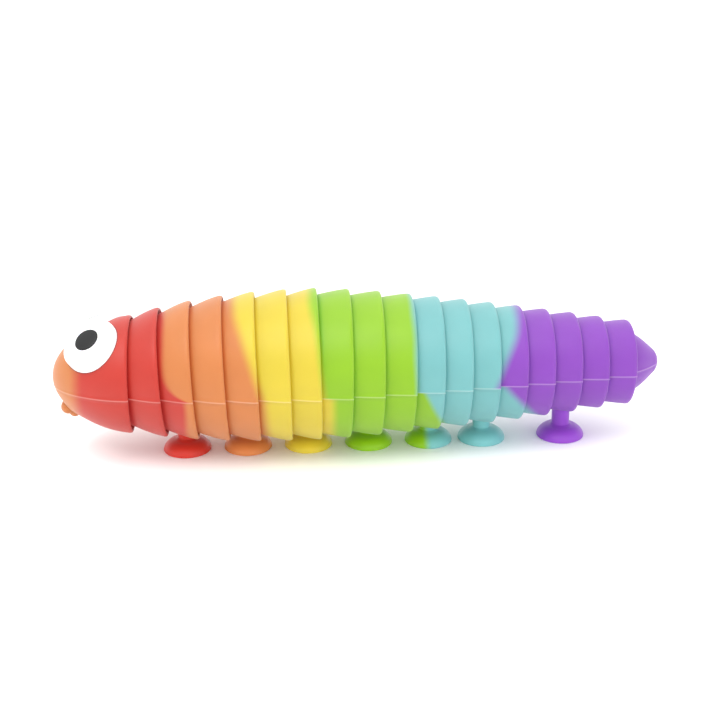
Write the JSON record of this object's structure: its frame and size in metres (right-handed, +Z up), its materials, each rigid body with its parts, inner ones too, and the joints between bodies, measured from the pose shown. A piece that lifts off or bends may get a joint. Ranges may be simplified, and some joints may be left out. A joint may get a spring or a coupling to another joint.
{
  "type": "segmented fidget grub",
  "caption": "Soft fidget grub of overlapping rings on hidden two-axis links, with bulging eyes, a cone tail and a row of suction cups",
  "frame": {"origin": "on the floor under the middle of the body, half way between nose and tail tip", "axes": "+X from head to tail, +Y to the left eye, +Z up"},
  "size_m": [0.1818, 0.0458, 0.0492],
  "materials": {
    "silicone_red": "matt soft silicone, slightly translucent",
    "silicone_orange": "matt soft silicone, slightly translucent",
    "silicone_yellow": "matt soft silicone, slightly translucent",
    "silicone_green": "matt soft silicone, slightly translucent",
    "silicone_cyan": "matt soft silicone, slightly translucent",
    "silicone_purple": "matt soft silicone, slightly translucent",
    "link_plastic": "moulded plastic",
    "eye_white": "smooth white silicone",
    "pupil_black": "smooth black silicone"
  },
  "bodies": {
    "head_body": {"head": "silicone_red", "eye_left": "eye_white", "eye_right": "eye_white", "pupil_left": "pupil_black", "pupil_right": "pupil_black"},
    "segment_ring_01": {"ring_01": "silicone_red"},
    "segment_ring_02": {"ring_02": "silicone_orange", "suction_cup_1": "silicone_orange"},
    "segment_ring_03": {"ring_03": "silicone_orange"},
    "segment_ring_04": {"ring_04": "silicone_yellow", "suction_cup_2": "silicone_yellow"},
    "segment_ring_05": {"ring_05": "silicone_yellow"},
    "segment_ring_06": {"ring_06": "silicone_yellow", "suction_cup_3": "silicone_yellow"},
    "segment_ring_07": {"ring_07": "silicone_green"},
    "segment_ring_08": {"ring_08": "silicone_green", "suction_cup_4": "silicone_green"},
    "segment_ring_09": {"ring_09": "silicone_green"},
    "segment_ring_10": {"ring_10": "silicone_cyan", "suction_cup_5": "silicone_cyan"},
    "segment_ring_11": {"ring_11": "silicone_cyan"},
    "segment_ring_12": {"ring_12": "silicone_cyan", "suction_cup_6": "silicone_cyan"},
    "segment_ring_13": {"ring_13": "silicone_purple"},
    "segment_ring_14": {"ring_14": "silicone_purple"},
    "segment_ring_15": {"ring_15": "silicone_purple", "suction_cup_7": "silicone_purple"},
    "segment_ring_16": {"ring_16": "silicone_purple"},
    "segment_ring_17": {"ring_17": "silicone_purple"},
    "tail_body": {"tail": "silicone_purple"},
    "link_01_body": {"link_01": "link_plastic"},
    "link_02_body": {"link_02": "link_plastic"},
    "link_03_body": {"link_03": "link_plastic"},
    "link_04_body": {"link_04": "link_plastic"},
    "link_05_body": {"link_05": "link_plastic"},
    "link_06_body": {"link_06": "link_plastic"},
    "link_07_body": {"link_07": "link_plastic"},
    "link_08_body": {"link_08": "link_plastic"},
    "link_09_body": {"link_09": "link_plastic"},
    "link_10_body": {"link_10": "link_plastic"},
    "link_11_body": {"link_11": "link_plastic"},
    "link_12_body": {"link_12": "link_plastic"},
    "link_13_body": {"link_13": "link_plastic"},
    "link_14_body": {"link_14": "link_plastic"},
    "link_15_body": {"link_15": "link_plastic"},
    "link_16_body": {"link_16": "link_plastic"},
    "link_17_body": {"link_17": "link_plastic"},
    "link_18_body": {"link_18": "link_plastic"}
  },
  "joints": [
    {"name": "yaw_01", "type": "hinge", "parent": "link_01_body", "child": "head_body", "pos_m": [-0.06185, 0, 0.0236], "axis": [0, 0, -1], "range_deg": [-5, 5]},
    {"name": "yaw_02", "type": "hinge", "parent": "link_02_body", "child": "segment_ring_01", "pos_m": [-0.05265, 0, 0.0236], "axis": [0, 0, -1], "range_deg": [-7, 7]},
    {"name": "yaw_03", "type": "hinge", "parent": "link_03_body", "child": "segment_ring_02", "pos_m": [-0.04345, 0, 0.0236], "axis": [0, 0, -1], "range_deg": [-7, 7]},
    {"name": "yaw_04", "type": "hinge", "parent": "link_04_body", "child": "segment_ring_03", "pos_m": [-0.03425, 0, 0.0236], "axis": [0, 0, -1], "range_deg": [-7, 7]},
    {"name": "yaw_05", "type": "hinge", "parent": "link_05_body", "child": "segment_ring_04", "pos_m": [-0.02505, 0, 0.0236], "axis": [0, 0, -1], "range_deg": [-7, 7]},
    {"name": "yaw_06", "type": "hinge", "parent": "link_06_body", "child": "segment_ring_05", "pos_m": [-0.01585, 0, 0.0236], "axis": [0, 0, -1], "range_deg": [-7, 7]},
    {"name": "yaw_07", "type": "hinge", "parent": "link_07_body", "child": "segment_ring_06", "pos_m": [-0.00665, 0, 0.0236], "axis": [0, 0, -1], "range_deg": [-7, 7]},
    {"name": "yaw_08", "type": "hinge", "parent": "link_08_body", "child": "segment_ring_07", "pos_m": [0.00255, 0, 0.0236], "axis": [0, 0, -1], "range_deg": [-7, 7]},
    {"name": "yaw_09", "type": "hinge", "parent": "link_09_body", "child": "segment_ring_08", "pos_m": [0.01175, 0, 0.0236], "axis": [0, 0, -1], "range_deg": [-7, 7]},
    {"name": "yaw_10", "type": "hinge", "parent": "segment_ring_09", "child": "link_10_body", "pos_m": [0.02095, 0, 0.0236], "axis": [0, 0, 1], "range_deg": [-7, 7]},
    {"name": "yaw_11", "type": "hinge", "parent": "segment_ring_10", "child": "link_11_body", "pos_m": [0.02915, 0, 0.0236], "axis": [0, 0, 1], "range_deg": [-7, 7]},
    {"name": "yaw_12", "type": "hinge", "parent": "segment_ring_11", "child": "link_12_body", "pos_m": [0.03685, 0, 0.0236], "axis": [0, 0, 1], "range_deg": [-7, 7]},
    {"name": "yaw_13", "type": "hinge", "parent": "segment_ring_12", "child": "link_13_body", "pos_m": [0.04455, 0, 0.0236], "axis": [0, 0, 1], "range_deg": [-7, 7]},
    {"name": "yaw_14", "type": "hinge", "parent": "segment_ring_13", "child": "link_14_body", "pos_m": [0.05225, 0, 0.0236], "axis": [0, 0, 1], "range_deg": [-7, 7]},
    {"name": "yaw_15", "type": "hinge", "parent": "segment_ring_14", "child": "link_15_body", "pos_m": [0.05995, 0, 0.0236], "axis": [0, 0, 1], "range_deg": [-7, 7]},
    {"name": "yaw_16", "type": "hinge", "parent": "segment_ring_15", "child": "link_16_body", "pos_m": [0.06765, 0, 0.0236], "axis": [0, 0, 1], "range_deg": [-7, 7]},
    {"name": "yaw_17", "type": "hinge", "parent": "segment_ring_16", "child": "link_17_body", "pos_m": [0.07535, 0, 0.0236], "axis": [0, 0, 1], "range_deg": [-7, 7]},
    {"name": "yaw_18", "type": "hinge", "parent": "segment_ring_17", "child": "link_18_body", "pos_m": [0.08305, 0, 0.0236], "axis": [0, 0, 1], "range_deg": [-7, 7]},
    {"name": "pitch_01", "type": "hinge", "parent": "segment_ring_01", "child": "link_01_body", "pos_m": [-0.06185, 0, 0.0236], "axis": [0, -1, 0], "range_deg": [-2, 3]},
    {"name": "pitch_02", "type": "hinge", "parent": "segment_ring_02", "child": "link_02_body", "pos_m": [-0.05265, 0, 0.0236], "axis": [0, -1, 0], "range_deg": [-4, 4]},
    {"name": "pitch_03", "type": "hinge", "parent": "segment_ring_03", "child": "link_03_body", "pos_m": [-0.04345, 0, 0.0236], "axis": [0, -1, 0], "range_deg": [-4, 4]},
    {"name": "pitch_04", "type": "hinge", "parent": "segment_ring_04", "child": "link_04_body", "pos_m": [-0.03425, 0, 0.0236], "axis": [0, -1, 0], "range_deg": [-4, 4]},
    {"name": "pitch_05", "type": "hinge", "parent": "segment_ring_05", "child": "link_05_body", "pos_m": [-0.02505, 0, 0.0236], "axis": [0, -1, 0], "range_deg": [-4, 4]},
    {"name": "pitch_06", "type": "hinge", "parent": "segment_ring_06", "child": "link_06_body", "pos_m": [-0.01585, 0, 0.0236], "axis": [0, -1, 0], "range_deg": [-4, 4]},
    {"name": "pitch_07", "type": "hinge", "parent": "segment_ring_07", "child": "link_07_body", "pos_m": [-0.00665, 0, 0.0236], "axis": [0, -1, 0], "range_deg": [-4, 4]},
    {"name": "pitch_08", "type": "hinge", "parent": "segment_ring_08", "child": "link_08_body", "pos_m": [0.00255, 0, 0.0236], "axis": [0, -1, 0], "range_deg": [-4, 4]},
    {"name": "pitch_09", "type": "hinge", "parent": "segment_ring_09", "child": "link_09_body", "pos_m": [0.01175, 0, 0.0236], "axis": [0, -1, 0], "range_deg": [-4, 4]},
    {"name": "pitch_10", "type": "hinge", "parent": "link_10_body", "child": "segment_ring_10", "pos_m": [0.02095, 0, 0.0236], "axis": [0, 1, 0], "range_deg": [-4, 4]},
    {"name": "pitch_11", "type": "hinge", "parent": "link_11_body", "child": "segment_ring_11", "pos_m": [0.02915, 0, 0.0236], "axis": [0, 1, 0], "range_deg": [-4, 2]},
    {"name": "pitch_12", "type": "hinge", "parent": "link_12_body", "child": "segment_ring_12", "pos_m": [0.03685, 0, 0.0236], "axis": [0, 1, 0], "range_deg": [-4, 2]},
    {"name": "pitch_13", "type": "hinge", "parent": "link_13_body", "child": "segment_ring_13", "pos_m": [0.04455, 0, 0.0236], "axis": [0, 1, 0], "range_deg": [-4, 4]},
    {"name": "pitch_14", "type": "hinge", "parent": "link_14_body", "child": "segment_ring_14", "pos_m": [0.05225, 0, 0.0236], "axis": [0, 1, 0], "range_deg": [-4, 4]},
    {"name": "pitch_15", "type": "hinge", "parent": "link_15_body", "child": "segment_ring_15", "pos_m": [0.05995, 0, 0.0236], "axis": [0, 1, 0], "range_deg": [-4, 4]},
    {"name": "pitch_16", "type": "hinge", "parent": "link_16_body", "child": "segment_ring_16", "pos_m": [0.06765, 0, 0.0236], "axis": [0, 1, 0], "range_deg": [-4, 4]},
    {"name": "pitch_17", "type": "hinge", "parent": "link_17_body", "child": "segment_ring_17", "pos_m": [0.07535, 0, 0.0236], "axis": [0, 1, 0], "range_deg": [-4, 4]},
    {"name": "pitch_18", "type": "hinge", "parent": "link_18_body", "child": "tail_body", "pos_m": [0.08305, 0, 0.0236], "axis": [0, 1, 0], "range_deg": [-4, 4]}
  ]
}
